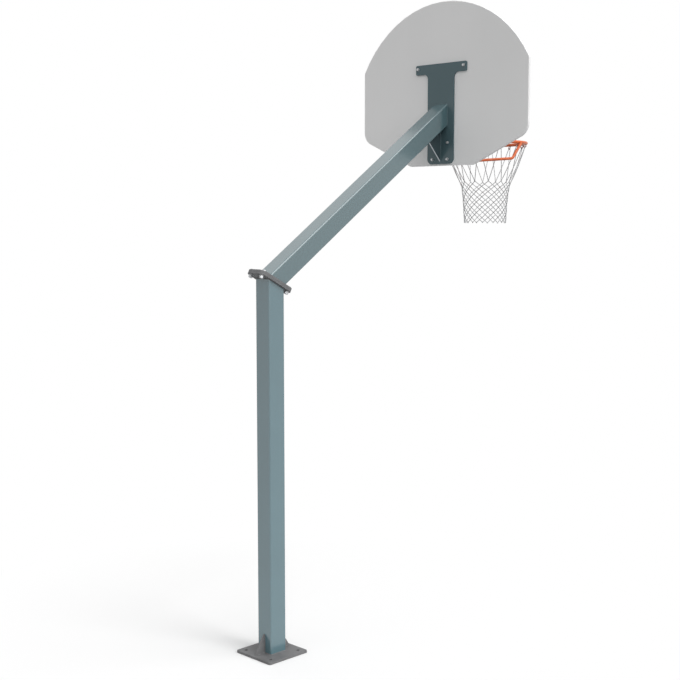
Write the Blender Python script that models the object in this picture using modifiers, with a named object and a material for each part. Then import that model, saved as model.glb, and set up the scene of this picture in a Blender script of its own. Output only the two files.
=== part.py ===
"""Basketball post: a cranked square tube on a base plate, a fan shaped board, a fixed rim and a net.

Units are metres and +Z is up. The origin is the centre of the base plate's underside, and +X points
from the post towards the court, so the board hangs out over +X and faces it.
"""

import math

import bmesh
import bpy
from mathutils import Matrix, Vector

# Clearances
SEAT_GAP = 0.0003
BOLT_CLEARANCE = 0.0006
NUT_CLEARANCE = 0.0003

# Base plate and its gussets
BASE_SIDE = 0.254
BASE_THICKNESS = 0.012
BASE_CORNER_RADIUS = 0.010
ANCHOR_HOLE_DIAMETER = 0.018
ANCHOR_HOLE_PITCH = 0.184
BASE_GUSSET_REACH = 0.062
BASE_GUSSET_HEIGHT = 0.095
BASE_GUSSET_NOSE = 0.004
GUSSET_THICKNESS = 0.008

# Square tube of the post and the boom
TUBE_SIDE = 0.100
TUBE_WALL = 0.004
TUBE_CORNER_RADIUS = 0.008
CRANK_HEIGHT = 1.868
BOOM_RISE_DEGREES = 34.43

# Pair of flanges at the crank
FLANGE_LENGTH = 0.224
FLANGE_WIDTH = 0.128
FLANGE_THICKNESS = 0.010
FLANGE_CORNER_RADIUS = 0.034
FLANGE_BOLT_PITCH_LONG = 0.180
FLANGE_BOLT_PITCH_WIDE = 0.080
FLANGE_BOLT_DIAMETER = 0.012

# Backboard, seen from behind. Its drop is how far it reaches below the boom's axis.
BOARD_BACK_X = 1.271
BOARD_THICKNESS = 0.014
BOARD_WIDTH = 1.180
BOARD_HEIGHT = 0.891
BOARD_DROP = 0.2802
BOARD_BOTTOM_WIDTH = 0.452
BOARD_ARC_RADIUS = 0.677
BOARD_SKIRT_DEGREES = 23.6
BOARD_SHOULDER_RADIUS = 0.030
BOARD_CHEEK_RADIUS = 0.076
BOARD_FOOT_RADIUS = 0.050
BOARD_EDGE_ROUND = 0.002

# T shaped bracket between the boom and the board
BRACKET_THICKNESS = 0.008
BRACKET_FOOT_RISE = 0.010
BRACKET_HEIGHT = 0.548
BRACKET_BAR_WIDTH = 0.363
BRACKET_BAR_HEIGHT = 0.053
BRACKET_BAR_CORNER_RADIUS = 0.009
BRACKET_STEM_WIDTH = 0.187
BRACKET_STEM_CORNER_RADIUS = 0.030
BRACKET_INNER_RADIUS = 0.028
BRACKET_GUSSET_TOE_RISE = 0.013
BRACKET_GUSSET_REACH = 0.108
BRACKET_BOLT_PITCH = 0.328
BRACKET_BOLT_DROP = 0.022
BOARD_BOLT_DIAMETER = 0.008

# Rim, its plate, its neck and its braces
RIM_INNER_DIAMETER = 0.450
RIM_BAR_DIAMETER = 0.018
RIM_TOP_RISE = 0.146
RIM_TO_BOARD = 0.151
RIM_PLATE_WIDTH = 0.160
RIM_PLATE_HEIGHT = 0.142
RIM_PLATE_THICKNESS = 0.006
RIM_PLATE_CORNER_RADIUS = 0.012
RIM_BOLT_PITCH_WIDE = 0.108
RIM_BOLT_PITCH_TALL = 0.091
RIM_BOLT_CENTRE_RISE = 0.080
NECK_THICKNESS = 0.008
NECK_ROOT_WIDTH = 0.140
NECK_SPAN_DEGREES = 60.0
BRACE_DIAMETER = 0.016
BRACE_ROOT_SPACING = 0.136
BRACE_ROOT_RISE = 0.010
BRACE_BEND_SETBACK = 0.068
BRACE_BEND_OFFSET = 0.014
BRACE_BEND_RISE = 0.024
BRACE_BEND_RADIUS = 0.022
BRACE_HEAD_DEGREES = 87.0
BRACE_HEAD_OFFSET = 0.0115
BRACE_HEAD_DROP = 0.006

# Net hooks
HOOK_COUNT = 12
HOOK_WIRE_DIAMETER = 0.005
HOOK_DROP = 0.008
HOOK_BEND_RADIUS = 0.0065
HOOK_LIP = 0.004

# Net
NET_CORD_DIAMETER = 0.0050
NET_ROW_PITCH = 0.0294
NET_ROW_COUNT = 8
NET_FIRST_KNOT_DROP = 0.217
NET_FIRST_KNOT_RADIUS = 0.145
NET_WAIST_RADIUS = 0.132
NET_MOUTH_RADIUS = 0.120

# Fasteners, as shares of the bolt's diameter
ACROSS_FLATS_SHARE = 1.6
HEX_HEAD_SHARE = 0.62
ROUND_HEAD_RADIUS_SHARE = 1.0
ROUND_HEAD_SHARE = 0.5
BOLT_END_SHARE = 1.35
WASHER_RADIUS_SHARE = 0.98
WASHER_THICKNESS_SHARE = 0.2
NUT_HEIGHT_SHARE = 1.0
BOLT_END_CHAMFER = 0.001

# Fineness of the round shapes
ARC_STEP_DEGREES = 12.0
HOLE_SIDES = 20
RING_STEPS = 72
RING_SIDES = 12
BAR_BEVEL_RESOLUTION = 3
HOOK_BEVEL_RESOLUTION = 1
BEND_STEPS = 6
DOME_STEPS = 4
NET_LOOP_STEPS = 4

# Worked out from the sizes above
CRANK_POINT = Vector((0.0, 0.0, CRANK_HEIGHT))
BOOM_RISE = math.radians(BOOM_RISE_DEGREES)
FLANGE_TILT = (math.pi / 2 - BOOM_RISE) / 2
BOARD_BOTTOM_Z = CRANK_HEIGHT + BOARD_BACK_X * math.tan(BOOM_RISE) - BOARD_DROP
BOARD_FRONT_X = BOARD_BACK_X + BOARD_THICKNESS
BRACKET_BACK_X = BOARD_BACK_X - SEAT_GAP - BRACKET_THICKNESS
BRACKET_BOTTOM_Z = BOARD_BOTTOM_Z + BRACKET_FOOT_RISE
BRACKET_TOP_Z = BRACKET_BOTTOM_Z + BRACKET_HEIGHT
BRACKET_BAR_BOTTOM_Z = BRACKET_TOP_Z - BRACKET_BAR_HEIGHT
RIM_PLATE_BACK_X = BOARD_FRONT_X + SEAT_GAP
RIM_PLATE_FRONT_X = RIM_PLATE_BACK_X + RIM_PLATE_THICKNESS
RIM_BAR_RADIUS = RIM_BAR_DIAMETER / 2
RIM_RADIUS = RIM_INNER_DIAMETER / 2 + RIM_BAR_RADIUS
RIM_CENTRE_X = BOARD_FRONT_X + RIM_TO_BOARD + RIM_INNER_DIAMETER / 2
RIM_CENTRE = Vector((RIM_CENTRE_X, 0.0, BOARD_BOTTOM_Z + RIM_TOP_RISE - RIM_BAR_RADIUS))
RIM_BOLT_CENTRE_Z = BOARD_BOTTOM_Z + RIM_BOLT_CENTRE_RISE
HOOK_FLOOR_Z = -RIM_BAR_RADIUS - SEAT_GAP - HOOK_DROP - HOOK_BEND_RADIUS

# Directions in which an outline drawn in local XY is stood up
FACING_X = (math.pi / 2, 0.0, math.pi / 2)
FACING_Y = (math.pi / 2, 0.0, 0.0)
ON_FLANGE = (0.0, FLANGE_TILT, 0.0)


def empty_scene():
    for item in list(bpy.data.objects):
        bpy.data.objects.remove(item, do_unlink=True)


def new_collection(name):
    collection = bpy.data.collections.new(name)
    bpy.context.scene.collection.children.link(collection)
    return collection


def new_material(name, colour, roughness, metallic=0.0):
    material = bpy.data.materials.new(name)
    material.use_nodes = True
    shader = material.node_tree.nodes["Principled BSDF"]
    shader.inputs["Base Color"].default_value = (*colour, 1.0)
    shader.inputs["Roughness"].default_value = roughness
    shader.inputs["Metallic"].default_value = metallic
    material.diffuse_color = (*colour, 1.0)
    return material


def evaluated_mesh(item):
    """The object's mesh with its modifiers applied, with loose caps and seams welded."""
    depsgraph = bpy.context.evaluated_depsgraph_get()
    mesh = bpy.data.meshes.new_from_object(item.evaluated_get(depsgraph))
    shape = bmesh.new()
    shape.from_mesh(mesh)
    bmesh.ops.remove_doubles(shape, verts=shape.verts, dist=0.000001)
    bmesh.ops.recalc_face_normals(shape, faces=shape.faces)
    shape.to_mesh(mesh)
    shape.free()
    return mesh


def place(name, mesh, material, location=(0.0, 0.0, 0.0), rotation=(0.0, 0.0, 0.0)):
    """Make one named part from a mesh."""
    if not mesh.materials:
        mesh.materials.append(material)
    part = bpy.data.objects.new(name, mesh)
    part.location = location
    part.rotation_euler = rotation
    parts.objects.link(part)
    return part


def shade_round(mesh, sharp_degrees=35.0):
    mesh.shade_smooth()
    mesh.set_sharp_from_angle(angle=math.radians(sharp_degrees))


def cut(part, cutter):
    modifier = part.modifiers.new("Cut " + cutter.name, "BOOLEAN")
    modifier.operation = "DIFFERENCE"
    modifier.solver = "EXACT"
    modifier.object = cutter


def hide_cutter(cutter):
    cutter.hide_render = True
    cutter.display_type = "WIRE"


def box_cutter(name, size, location, rotation=(0.0, 0.0, 0.0)):
    """A box whose lowest local face, in Z, is at its location."""
    shape = bmesh.new()
    bmesh.ops.create_cube(shape, size=1.0)
    bmesh.ops.translate(shape, verts=shape.verts, vec=(0.0, 0.0, 0.5))
    bmesh.ops.scale(shape, verts=shape.verts, vec=size)
    mesh = bpy.data.meshes.new(name)
    shape.to_mesh(mesh)
    shape.free()
    cutter = bpy.data.objects.new(name, mesh)
    cutter.location = location
    cutter.rotation_euler = rotation
    cutters.objects.link(cutter)
    hide_cutter(cutter)
    return cutter


def combined_mesh(base, tool, operation):
    """One mesh from two meshes: their union, or the first without the second."""
    holder = bpy.data.objects.new("combined base", base)
    helper = bpy.data.objects.new("combined tool", tool)
    cutters.objects.link(holder)
    cutters.objects.link(helper)
    modifier = holder.modifiers.new("Combine", "BOOLEAN")
    modifier.operation = operation
    modifier.solver = "EXACT"
    modifier.object = helper
    mesh = evaluated_mesh(holder)
    bpy.data.objects.remove(holder)
    bpy.data.objects.remove(helper)
    return mesh


def circle_points(radius, sides, centre=(0.0, 0.0)):
    points = []
    for i in range(sides):
        angle = 2 * math.pi * i / sides
        points.append((centre[0] + radius * math.cos(angle), centre[1] + radius * math.sin(angle)))
    return points


def fillet_points(before, corner, after, radius):
    """The arc that rounds one corner of an outline, or the corner itself where the radius is zero."""
    to_before = (before - corner).normalized()
    to_after = (after - corner).normalized()
    inside = to_before.angle(to_after)
    if radius <= 0.0 or inside > math.radians(179.5):
        return [corner]
    longest = 0.49 * min((before - corner).length, (after - corner).length)
    setback = min(radius / math.tan(inside / 2), longest)
    radius = setback * math.tan(inside / 2)
    centre = corner + (to_before + to_after).normalized() * radius / math.sin(inside / 2)
    start = corner + to_before * setback - centre
    turn = start.angle_signed(corner + to_after * setback - centre)
    steps = max(2, round(abs(math.degrees(turn)) / ARC_STEP_DEGREES))
    return [centre + Matrix.Rotation(-turn * i / steps, 2) @ start for i in range(steps + 1)]


def rounded_outline(corners):
    """A closed outline from (x, y, corner radius) triples."""
    spots = [Vector((x, y)) for x, y, radius in corners]
    points = []
    for i, (x, y, radius) in enumerate(corners):
        points += fillet_points(spots[i - 1], spots[i], spots[(i + 1) % len(spots)], radius)
    return points


def rounded_rectangle(width, height, radius, centre=(0.0, 0.0)):
    x = width / 2
    y = height / 2
    signs = ((1, 1), (-1, 1), (-1, -1), (1, -1))
    return rounded_outline([(centre[0] + sx * x, centre[1] + sy * y, radius) for sx, sy in signs])


def plate_mesh(name, outline, thickness, holes=()):
    """A flat plate around local Z = 0 from an outline and any hole outlines in it."""
    curve = bpy.data.curves.new(name, "CURVE")
    curve.dimensions = "2D"
    curve.fill_mode = "BOTH"
    curve.extrude = thickness / 2
    for ring in (outline, *holes):
        spline = curve.splines.new("POLY")
        spline.points.add(len(ring) - 1)
        spline.use_cyclic_u = True
        for point, spot in zip(spline.points, ring):
            point.co = (spot[0], spot[1], 0.0, 1.0)
    holder = bpy.data.objects.new(name, curve)
    cutters.objects.link(holder)
    bpy.context.view_layer.update()
    mesh = evaluated_mesh(holder)
    bpy.data.objects.remove(holder)
    shade_round(mesh)
    return mesh


def bar_mesh(name, points, diameter, bevel_resolution):
    """A round bar, wire or cord along points, closed at both ends."""
    curve = bpy.data.curves.new(name, "CURVE")
    curve.dimensions = "3D"
    curve.bevel_depth = diameter / 2
    curve.bevel_resolution = bevel_resolution
    curve.use_fill_caps = True
    spline = curve.splines.new("POLY")
    spline.points.add(len(points) - 1)
    for point, spot in zip(spline.points, points):
        point.co = (*spot, 1.0)
    holder = bpy.data.objects.new(name, curve)
    cutters.objects.link(holder)
    bpy.context.view_layer.update()
    mesh = evaluated_mesh(holder)
    bpy.data.objects.remove(holder)
    shade_round(mesh)
    return mesh


def prism_mesh(name, radius, bottom_z, top_z, sides):
    shape = bmesh.new()
    depth = top_z - bottom_z
    bmesh.ops.create_cone(shape, cap_ends=True, segments=sides, radius1=radius, radius2=radius, depth=depth)
    bmesh.ops.translate(shape, verts=shape.verts, vec=(0.0, 0.0, (top_z + bottom_z) / 2))
    mesh = bpy.data.meshes.new(name)
    shape.to_mesh(mesh)
    shape.free()
    return mesh


def turned_mesh(name, profile, steps):
    """A solid turned about local Z from (radius, z) points that run from top to bottom."""
    mesh = bpy.data.meshes.new(name)
    spots = [(radius, 0.0, z) for radius, z in profile]
    mesh.from_pydata(spots, [(i, i + 1) for i in range(len(spots) - 1)], [])
    holder = bpy.data.objects.new(name, mesh)
    cutters.objects.link(holder)
    screw = holder.modifiers.new("Turn", "SCREW")
    screw.axis = "Z"
    screw.steps = steps
    screw.render_steps = steps
    screw.use_merge_vertices = True
    screw.merge_threshold = 0.00001
    turned = evaluated_mesh(holder)
    bpy.data.objects.remove(holder)
    shade_round(turned)
    return turned


# Fasteners. A bolt's head sits on local Z = 0 and its shank runs down, and a nut sits under Z = 0.


def hexagon_radius(diameter):
    return ACROSS_FLATS_SHARE * diameter / 2 / math.cos(math.pi / 6)


def shank_profile(diameter, grip):
    """The lower part of a bolt's turned outline, from under its head to the middle of its end."""
    radius = diameter / 2
    end_z = -grip - BOLT_END_SHARE * diameter
    return [(radius, end_z + BOLT_END_CHAMFER), (radius - BOLT_END_CHAMFER, end_z), (0.0, end_z)]


def hex_bolt_mesh(diameter, grip):
    """The shank starts halfway up inside the head, and the two are joined."""
    head_z = HEX_HEAD_SHARE * diameter
    head = prism_mesh("hex head", hexagon_radius(diameter), SEAT_GAP, head_z, 6)
    inside_head = [(0.0, head_z / 2), (diameter / 2, head_z / 2)]
    shank = turned_mesh("hex shank", inside_head + shank_profile(diameter, grip), HOLE_SIDES)
    mesh = combined_mesh(head, shank, "UNION")
    shade_round(mesh)
    return mesh


def round_bolt_mesh(diameter, grip):
    head_radius = ROUND_HEAD_RADIUS_SHARE * diameter
    head_height = ROUND_HEAD_SHARE * diameter
    profile = []
    for i in range(DOME_STEPS + 1):
        angle = math.pi / 2 * i / DOME_STEPS
        profile.append((head_radius * math.sin(angle), SEAT_GAP + head_height * math.cos(angle)))
    profile.append((diameter / 2, SEAT_GAP))
    return turned_mesh("round bolt", profile + shank_profile(diameter, grip), HOLE_SIDES)


def nut_mesh(diameter):
    """A hexagon nut with its washer."""
    washer_bottom = -SEAT_GAP - WASHER_THICKNESS_SHARE * diameter
    nut_top = -SEAT_GAP - WASHER_THICKNESS_SHARE * diameter / 2
    nut_bottom = washer_bottom - NUT_HEIGHT_SHARE * diameter
    bore = prism_mesh("nut bore", diameter / 2 + NUT_CLEARANCE, 2 * nut_bottom, diameter, HOLE_SIDES)
    washer = prism_mesh("nut washer", WASHER_RADIUS_SHARE * diameter, washer_bottom, -SEAT_GAP, HOLE_SIDES)
    hexagon = prism_mesh("nut hexagon", hexagon_radius(diameter), nut_bottom, nut_top, 6)
    mesh = combined_mesh(combined_mesh(washer, hexagon, "UNION"), bore, "DIFFERENCE")
    shade_round(mesh)
    return mesh


# Base


def rectangle_pattern(pitch_x, pitch_y, centre=(0.0, 0.0)):
    signs = ((1, 1), (-1, 1), (-1, -1), (1, -1))
    return [(centre[0] + sx * pitch_x / 2, centre[1] + sy * pitch_y / 2) for sx, sy in signs]


def add_base_plate():
    outline = rounded_rectangle(BASE_SIDE, BASE_SIDE, BASE_CORNER_RADIUS)
    spots = rectangle_pattern(ANCHOR_HOLE_PITCH, ANCHOR_HOLE_PITCH)
    holes = [circle_points(ANCHOR_HOLE_DIAMETER / 2, HOLE_SIDES, spot) for spot in spots]
    mesh = plate_mesh("base plate", outline, BASE_THICKNESS, holes)
    place("base_plate", mesh, bare_steel, (0.0, 0.0, BASE_THICKNESS / 2))


def add_base_gusset(name, side):
    """A triangular plate that stands on the base plate against the post's front (+1) or back (-1)."""
    inner = TUBE_SIDE / 2 + SEAT_GAP
    outer = TUBE_SIDE / 2 + BASE_GUSSET_REACH
    foot = BASE_THICKNESS + SEAT_GAP
    head = BASE_THICKNESS + BASE_GUSSET_HEIGHT
    corners = [
        (inner, foot),
        (outer, foot),
        (outer, foot + BASE_GUSSET_NOSE),
        (inner + BASE_GUSSET_NOSE, head),
        (inner, head),
    ]
    mesh = plate_mesh(name, [(side * x, z) for x, z in corners], GUSSET_THICKNESS)
    place(name, mesh, bare_steel, rotation=FACING_Y)


# Tubes and flanges


def tube_mesh(name, low, high):
    """A length of the square tube along local Z, from low to high."""
    outer = rounded_rectangle(TUBE_SIDE, TUBE_SIDE, TUBE_CORNER_RADIUS)
    bore = TUBE_SIDE - 2 * TUBE_WALL
    inner = rounded_rectangle(bore, bore, max(TUBE_CORNER_RADIUS - TUBE_WALL, 0.001))
    mesh = plate_mesh(name, outer, high - low, [inner])
    mesh.transform(Matrix.Translation((0.0, 0.0, (low + high) / 2)))
    return mesh


def flange_level(offset):
    """A point on the flanges' common axis, offset from the joint face."""
    return CRANK_POINT + Vector((math.sin(FLANGE_TILT), 0.0, math.cos(FLANGE_TILT))) * offset


def add_post():
    spare = TUBE_SIDE
    low = BASE_THICKNESS + SEAT_GAP
    mesh = tube_mesh("post tube", low, CRANK_HEIGHT + spare)
    post = place("post_tube", mesh, tube_paint)
    level = -SEAT_GAP / 2 - FLANGE_THICKNESS - SEAT_GAP
    size = (6 * TUBE_SIDE, 3 * TUBE_SIDE, 4 * TUBE_SIDE)
    cut(post, box_cutter("post mitre cutter", size, flange_level(level), ON_FLANGE))


def add_boom():
    reach = BRACKET_BACK_X - SEAT_GAP
    spare = 2 * TUBE_SIDE
    mesh = tube_mesh("boom tube", -spare, reach / math.cos(BOOM_RISE) + spare)
    boom = place("boom_tube", mesh, tube_paint, CRANK_POINT, (0.0, math.pi / 2 - BOOM_RISE, 0.0))
    level = SEAT_GAP / 2 + FLANGE_THICKNESS + SEAT_GAP
    size = (6 * TUBE_SIDE, 3 * TUBE_SIDE, 4 * TUBE_SIDE)
    below_flange = (0.0, FLANGE_TILT + math.pi, 0.0)
    cut(boom, box_cutter("boom mitre cutter", size, flange_level(level), below_flange))
    end_z = CRANK_HEIGHT + reach * math.tan(BOOM_RISE)
    past_bracket = (0.0, math.pi / 2, 0.0)
    cut(boom, box_cutter("boom end cutter", size, (reach, 0.0, end_z), past_bracket))


def flange_mesh(name):
    outline = rounded_rectangle(FLANGE_LENGTH, FLANGE_WIDTH, FLANGE_CORNER_RADIUS)
    hole_radius = FLANGE_BOLT_DIAMETER / 2 + BOLT_CLEARANCE
    spots = rectangle_pattern(FLANGE_BOLT_PITCH_LONG, FLANGE_BOLT_PITCH_WIDE)
    holes = [circle_points(hole_radius, HOLE_SIDES, spot) for spot in spots]
    return plate_mesh(name, outline, FLANGE_THICKNESS, holes)


def add_flanges():
    middle = (SEAT_GAP + FLANGE_THICKNESS) / 2
    place("post_flange", flange_mesh("post flange"), bare_steel, flange_level(-middle), ON_FLANGE)
    place("boom_flange", flange_mesh("boom flange"), bare_steel, flange_level(middle), ON_FLANGE)


def add_flange_fasteners():
    top = SEAT_GAP / 2 + FLANGE_THICKNESS
    bolt = hex_bolt_mesh(FLANGE_BOLT_DIAMETER, 2 * top)
    nut = nut_mesh(FLANGE_BOLT_DIAMETER)
    tilt = Matrix.Rotation(FLANGE_TILT, 3, "Y")
    spots = rectangle_pattern(FLANGE_BOLT_PITCH_LONG, FLANGE_BOLT_PITCH_WIDE)
    for i, (x, y) in enumerate(spots, 1):
        place(f"flange_bolt_{i}", bolt, zinc, CRANK_POINT + tilt @ Vector((x, y, top)), ON_FLANGE)
        place(f"flange_nut_{i}", nut, zinc, CRANK_POINT + tilt @ Vector((x, y, -top)), ON_FLANGE)


# Board and bracket


def board_corners():
    """The fan outline: the foot's and the cheek's corners, the arc over the top, then their mirror."""
    half_width = BOARD_WIDTH / 2
    half_foot = BOARD_BOTTOM_WIDTH / 2
    cheek_z = BOARD_BOTTOM_Z + (half_width - half_foot) * math.tan(math.radians(BOARD_SKIRT_DEGREES))
    arc_centre_z = BOARD_BOTTOM_Z + BOARD_HEIGHT - BOARD_ARC_RADIUS
    shoulder_angle = math.acos(half_width / BOARD_ARC_RADIUS)
    right = [(half_foot, BOARD_BOTTOM_Z, BOARD_FOOT_RADIUS), (half_width, cheek_z, BOARD_CHEEK_RADIUS)]
    steps = round(math.degrees(math.pi - 2 * shoulder_angle) / (ARC_STEP_DEGREES / 2))
    sweep = (math.pi - 2 * shoulder_angle) / steps
    arc = []
    for i in range(steps + 1):
        angle = shoulder_angle + i * sweep
        radius = BOARD_SHOULDER_RADIUS if i in (0, steps) else 0.0
        y = BOARD_ARC_RADIUS * math.cos(angle)
        z = arc_centre_z + BOARD_ARC_RADIUS * math.sin(angle)
        arc.append((y, z, radius))
    left = [(-y, z, radius) for y, z, radius in reversed(right)]
    return right + arc + left


def upper_bolt_spots():
    z = BRACKET_TOP_Z - BRACKET_BOLT_DROP
    return [(-BRACKET_BOLT_PITCH / 2, z), (BRACKET_BOLT_PITCH / 2, z)]


def rim_bolt_spots():
    return rectangle_pattern(RIM_BOLT_PITCH_WIDE, RIM_BOLT_PITCH_TALL, (0.0, RIM_BOLT_CENTRE_Z))


def board_bolt_holes(spots):
    radius = BOARD_BOLT_DIAMETER / 2 + BOLT_CLEARANCE
    return [circle_points(radius, HOLE_SIDES, spot) for spot in spots]


def add_backboard():
    holes = board_bolt_holes(upper_bolt_spots() + rim_bolt_spots())
    mesh = plate_mesh("backboard", rounded_outline(board_corners()), BOARD_THICKNESS, holes)
    board = place("backboard", mesh, board_paint, (BOARD_BACK_X + BOARD_THICKNESS / 2, 0.0, 0.0), FACING_X)
    bevel = board.modifiers.new("Round the edges", "BEVEL")
    bevel.width = BOARD_EDGE_ROUND
    bevel.segments = 1
    bevel.limit_method = "ANGLE"
    bevel.angle_limit = math.radians(60.0)


def bracket_corners():
    bar = BRACKET_BAR_WIDTH / 2
    stem = BRACKET_STEM_WIDTH / 2
    right = [
        (stem, BRACKET_BOTTOM_Z, BRACKET_STEM_CORNER_RADIUS),
        (stem, BRACKET_BAR_BOTTOM_Z, BRACKET_INNER_RADIUS),
        (bar, BRACKET_BAR_BOTTOM_Z, BRACKET_BAR_CORNER_RADIUS),
        (bar, BRACKET_TOP_Z, BRACKET_BAR_CORNER_RADIUS),
    ]
    left = [(-y, z, radius) for y, z, radius in reversed(right)]
    return right + left


def add_bracket():
    holes = board_bolt_holes(upper_bolt_spots() + rim_bolt_spots())
    mesh = plate_mesh("bracket", rounded_outline(bracket_corners()), BRACKET_THICKNESS, holes)
    place("board_bracket", mesh, tube_paint, (BRACKET_BACK_X + BRACKET_THICKNESS / 2, 0.0, 0.0), FACING_X)


def boom_underside_z(x):
    return CRANK_HEIGHT + x * math.tan(BOOM_RISE) - TUBE_SIDE / 2 / math.cos(BOOM_RISE)


def add_bracket_gusset():
    back = BRACKET_BACK_X - SEAT_GAP
    front = BRACKET_BACK_X - BRACKET_GUSSET_REACH
    lift = SEAT_GAP / math.cos(BOOM_RISE)
    corners = [
        (back, BRACKET_BOTTOM_Z + BRACKET_GUSSET_TOE_RISE),
        (back, boom_underside_z(back) - lift),
        (front, boom_underside_z(front) - lift),
    ]
    mesh = plate_mesh("bracket gusset", corners, GUSSET_THICKNESS)
    place("bracket_gusset", mesh, tube_paint, rotation=FACING_Y)


def add_board_fasteners():
    """Round head bolts hold the bracket's bar and hexagon bolts the rim, with nuts on the bracket's back."""
    board_grip = BOARD_FRONT_X - BRACKET_BACK_X
    rim_grip = RIM_PLATE_FRONT_X - BRACKET_BACK_X
    round_bolt = round_bolt_mesh(BOARD_BOLT_DIAMETER, board_grip)
    hex_bolt = hex_bolt_mesh(BOARD_BOLT_DIAMETER, rim_grip)
    nut = nut_mesh(BOARD_BOLT_DIAMETER)
    head_out = (0.0, math.pi / 2, 0.0)
    for i, (y, z) in enumerate(upper_bolt_spots(), 1):
        place(f"bracket_bolt_{i}", round_bolt, zinc, (BOARD_FRONT_X, y, z), head_out)
        place(f"bracket_nut_{i}", nut, zinc, (BRACKET_BACK_X, y, z), head_out)
    for i, (y, z) in enumerate(rim_bolt_spots(), 1):
        place(f"rim_bolt_{i}", hex_bolt, zinc, (RIM_PLATE_FRONT_X, y, z), head_out)
        place(f"rim_nut_{i}", nut, zinc, (BRACKET_BACK_X, y, z), head_out)


# Rim


def torus_mesh(name, major_radius, minor_radius):
    bpy.ops.mesh.primitive_torus_add(
        major_radius=major_radius, minor_radius=minor_radius,
        major_segments=RING_STEPS, minor_segments=RING_SIDES, location=(0.0, 0.0, 0.0),
    )
    holder = bpy.context.object
    mesh = holder.data
    mesh.name = name
    bpy.data.objects.remove(holder)
    mesh.shade_smooth()
    return mesh


def add_rim_ring():
    place("rim_ring", torus_mesh("rim ring", RIM_RADIUS, RIM_BAR_RADIUS), rim_paint, RIM_CENTRE)


def add_rim_plate():
    centre = (0.0, RIM_BOLT_CENTRE_Z)
    outline = rounded_rectangle(RIM_PLATE_WIDTH, RIM_PLATE_HEIGHT, RIM_PLATE_CORNER_RADIUS, centre)
    mesh = plate_mesh("rim plate", outline, RIM_PLATE_THICKNESS, board_bolt_holes(rim_bolt_spots()))
    place("rim_plate", mesh, rim_paint, (RIM_PLATE_BACK_X + RIM_PLATE_THICKNESS / 2, 0.0, 0.0), FACING_X)


def add_rim_neck():
    """A flat arm at the ring's height, hollowed to fit round the outside of the ring."""
    root_x = RIM_PLATE_FRONT_X + SEAT_GAP - RIM_CENTRE.x
    seat_radius = RIM_RADIUS + RIM_BAR_RADIUS + SEAT_GAP
    half_span = math.radians(NECK_SPAN_DEGREES / 2)
    steps = round(NECK_SPAN_DEGREES * RING_STEPS / 360)
    outline = [(root_x, NECK_ROOT_WIDTH / 2), (root_x, -NECK_ROOT_WIDTH / 2)]
    for i in range(steps + 1):
        angle = math.pi + half_span - 2 * half_span * i / steps
        outline.append((seat_radius * math.cos(angle), seat_radius * math.sin(angle)))
    mesh = plate_mesh("rim neck", outline, NECK_THICKNESS)
    place("rim_neck", mesh, rim_paint, RIM_CENTRE)


def bent_path(points, radius):
    """The points of a bar with its inner corners bent to a radius."""
    path = [points[0]]
    for before, corner, after in zip(points, points[1:], points[2:]):
        to_before = (before - corner).normalized()
        to_after = (after - corner).normalized()
        half = to_before.angle(to_after) / 2
        setback = radius / math.tan(half)
        middle = corner + (to_before + to_after).normalized() * radius / math.sin(half)
        start = corner + to_before * setback - middle
        end = corner + to_after * setback - middle
        axis = start.cross(end).normalized()
        turn = start.angle(end)
        for i in range(BEND_STEPS + 1):
            path.append(middle + Matrix.Rotation(turn * i / BEND_STEPS, 3, axis) @ start)
    path.append(points[-1])
    return path


def add_rim_brace(name, side, ring_cutter, plate_cutter):
    """A bent bar from the rim plate's foot to the ring's outer lower side, on the left (+1) or right (-1)."""
    root_z = RIM_BOLT_CENTRE_Z - RIM_PLATE_HEIGHT / 2 + BRACE_ROOT_RISE
    root = Vector((RIM_PLATE_FRONT_X, side * BRACE_ROOT_SPACING / 2, root_z))
    bend_x = RIM_CENTRE_X - BRACE_BEND_SETBACK
    bend = Vector((bend_x, side * (RIM_RADIUS + BRACE_BEND_OFFSET), root_z + BRACE_BEND_RISE))
    head_angle = side * math.radians(BRACE_HEAD_DEGREES)
    outwards = Vector((math.cos(head_angle), math.sin(head_angle), 0.0))
    head = RIM_CENTRE + outwards * (RIM_RADIUS + BRACE_HEAD_OFFSET) - Vector((0.0, 0.0, BRACE_HEAD_DROP))
    behind_plate = root - (bend - root).normalized() * 2 * BRACE_DIAMETER
    path = bent_path([behind_plate, bend, head], BRACE_BEND_RADIUS)
    mesh = bar_mesh(name, path, BRACE_DIAMETER, BAR_BEVEL_RESOLUTION)
    brace = place(name, mesh, rim_paint)
    cut(brace, ring_cutter)
    cut(brace, plate_cutter)


def add_rim_braces():
    ring_skin = torus_mesh("ring cutter", RIM_RADIUS, RIM_BAR_RADIUS + SEAT_GAP)
    ring_cutter = bpy.data.objects.new("ring cutter", ring_skin)
    ring_cutter.location = RIM_CENTRE
    cutters.objects.link(ring_cutter)
    hide_cutter(ring_cutter)
    size = (RIM_PLATE_HEIGHT, 2 * RIM_PLATE_WIDTH, 4 * BRACE_DIAMETER)
    spot = (RIM_PLATE_FRONT_X + SEAT_GAP, 0.0, RIM_BOLT_CENTRE_Z)
    plate_cutter = box_cutter("rim plate cutter", size, spot, (0.0, -math.pi / 2, 0.0))
    add_rim_brace("rim_brace_left", 1, ring_cutter, plate_cutter)
    add_rim_brace("rim_brace_right", -1, ring_cutter, plate_cutter)


# Hooks and net. Both are drawn about the rim's centre, with the first hook on local +X.


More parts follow.
